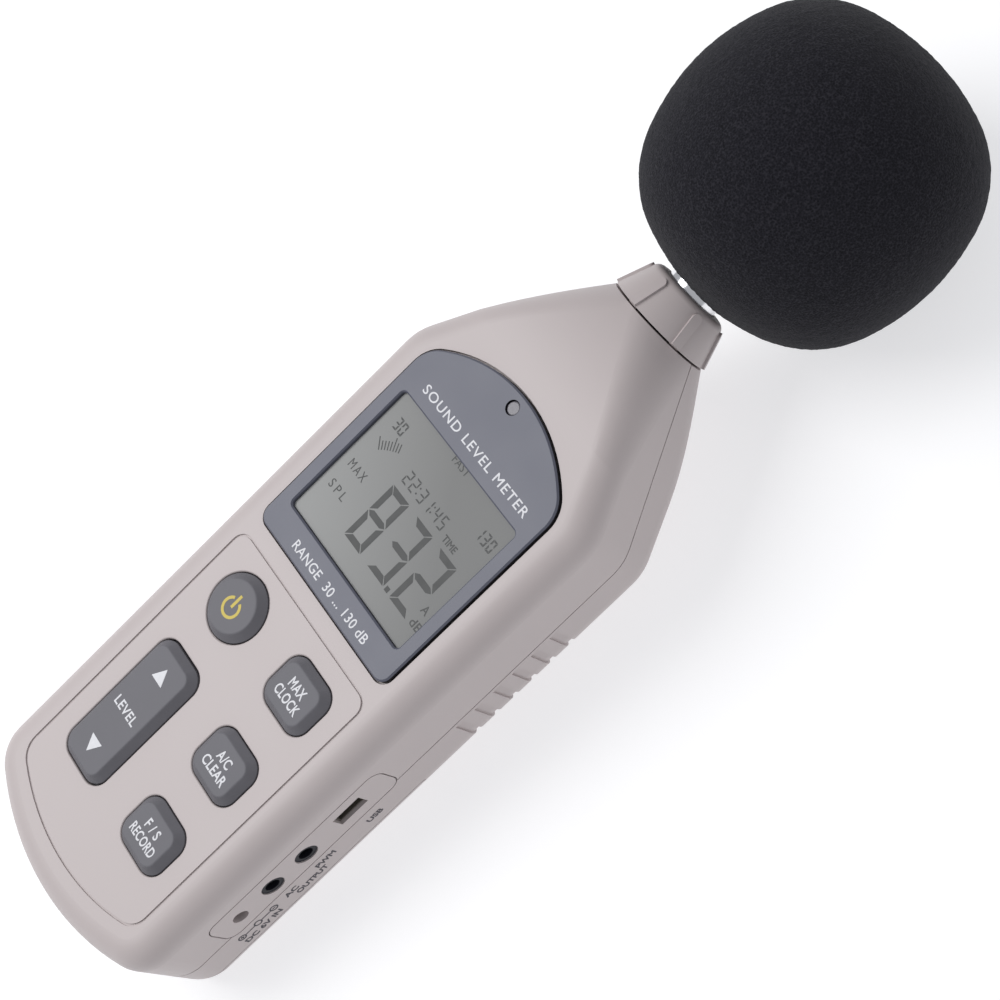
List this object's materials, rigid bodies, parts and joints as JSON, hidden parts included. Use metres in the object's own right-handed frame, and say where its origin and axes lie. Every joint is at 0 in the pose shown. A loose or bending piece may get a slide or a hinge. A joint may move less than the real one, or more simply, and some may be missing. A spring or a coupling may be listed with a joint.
{
  "type": "sound level meter",
  "caption": "Hand-held instrument with a ball foam windscreen on a tapering neck, display under a bezel, rubber keys, side sockets, a sliding battery cover and a tripod thread.",
  "frame": {"origin": "centre of the tripod thread's mouth, in the plane of the back face", "axes": "+X towards the side with the sockets, +Y along the case towards the microphone, +Z out of the display face"},
  "size_m": [0.07, 0.2682, 0.07],
  "materials": {
    "case_plastic": "matte",
    "bezel_plastic": "satin",
    "clear_window": "gloss",
    "lcd_glass": "satin",
    "white_plastic": "matte",
    "black_rubber": "matte",
    "indicator_plastic": "gloss",
    "circuit_board": "satin",
    "black_plastic": "satin",
    "steel": "satin",
    "brass_insert": "satin",
    "key_rubber": "satin",
    "battery_sleeve": "satin",
    "bright_metal": "polished",
    "foam": "matte"
  },
  "bodies": {
    "case": {"front_shell": "case_plastic", "rear_shell": "case_plastic", "microphone_collar": "case_plastic", "port_panel": "case_plastic", "display_bezel": "bezel_plastic", "lcd_window": "clear_window", "lcd_panel": "lcd_glass", "lcd_frame": "white_plastic", "zebra_strips": "black_rubber", "indicator_lens": "indicator_plastic", "indicator_led": "indicator_plastic", "main_board": "circuit_board", "preamp_board": "circuit_board", "link_header": "black_plastic", "controller_chip": "black_plastic", "board_screws": "steel", "case_screws": "steel", "contact_plates": "steel", "contact_springs": "steel", "tripod_insert": "brass_insert", "keypad_mat": "key_rubber", "power_dome": "key_rubber", "max_dome": "key_rubber", "weighting_dome": "key_rubber", "response_dome": "key_rubber", "level_dome_1": "key_rubber", "level_dome_2": "key_rubber", "ac_jack": "black_plastic", "pwm_jack": "black_plastic", "dc_jack": "black_plastic", "usb_socket": "steel", "battery_1": "battery_sleeve", "battery_2": "battery_sleeve", "battery_3": "battery_sleeve", "battery_4": "battery_sleeve", "microphone_holder": "black_plastic", "microphone_barrel": "bright_metal", "microphone_capsule": "steel", "microphone_grid": "bright_metal"},
    "power_button": {"power_key": "key_rubber"},
    "max_button": {"max_key": "key_rubber"},
    "weighting_button": {"weighting_key": "key_rubber"},
    "response_button": {"response_key": "key_rubber"},
    "level_rocker": {"level_key": "key_rubber"},
    "battery_cover": {"battery_door": "case_plastic"},
    "foam_windscreen": {"windscreen": "foam"}
  },
  "joints": [
    {"name": "power_press", "type": "slide", "parent": "case", "child": "power_button", "axis": [0, 0, -1], "range_m": [0, 0.0008], "stiffness_N_per_m": 1500, "deforming": ["power_dome"]},
    {"name": "max_press", "type": "slide", "parent": "case", "child": "max_button", "axis": [0, 0, -1], "range_m": [0, 0.0008], "stiffness_N_per_m": 1500, "deforming": ["max_dome"]},
    {"name": "weighting_press", "type": "slide", "parent": "case", "child": "weighting_button", "axis": [0, 0, -1], "range_m": [0, 0.0008], "stiffness_N_per_m": 1500, "deforming": ["weighting_dome"]},
    {"name": "response_press", "type": "slide", "parent": "case", "child": "response_button", "axis": [0, 0, -1], "range_m": [0, 0.0008], "stiffness_N_per_m": 1500, "deforming": ["response_dome"]},
    {"name": "level_rock", "type": "hinge", "parent": "case", "child": "level_rocker", "pos_m": [-0.0134, -0.0526, 0.0264], "axis": [1, 0, 0], "range_deg": [-2.5, 2.5], "stiffness_Nm_per_rad": 0.32, "deforming": ["level_dome_1", "level_dome_2"]},
    {"name": "battery_cover_slide", "type": "slide", "parent": "case", "child": "battery_cover", "axis": [0, -1, 0], "range_m": [0, 0.085]},
    {"name": "windscreen_pull", "type": "slide", "parent": "case", "child": "foam_windscreen", "axis": [0, 1, 0], "range_m": [0, 0.045]}
  ]
}
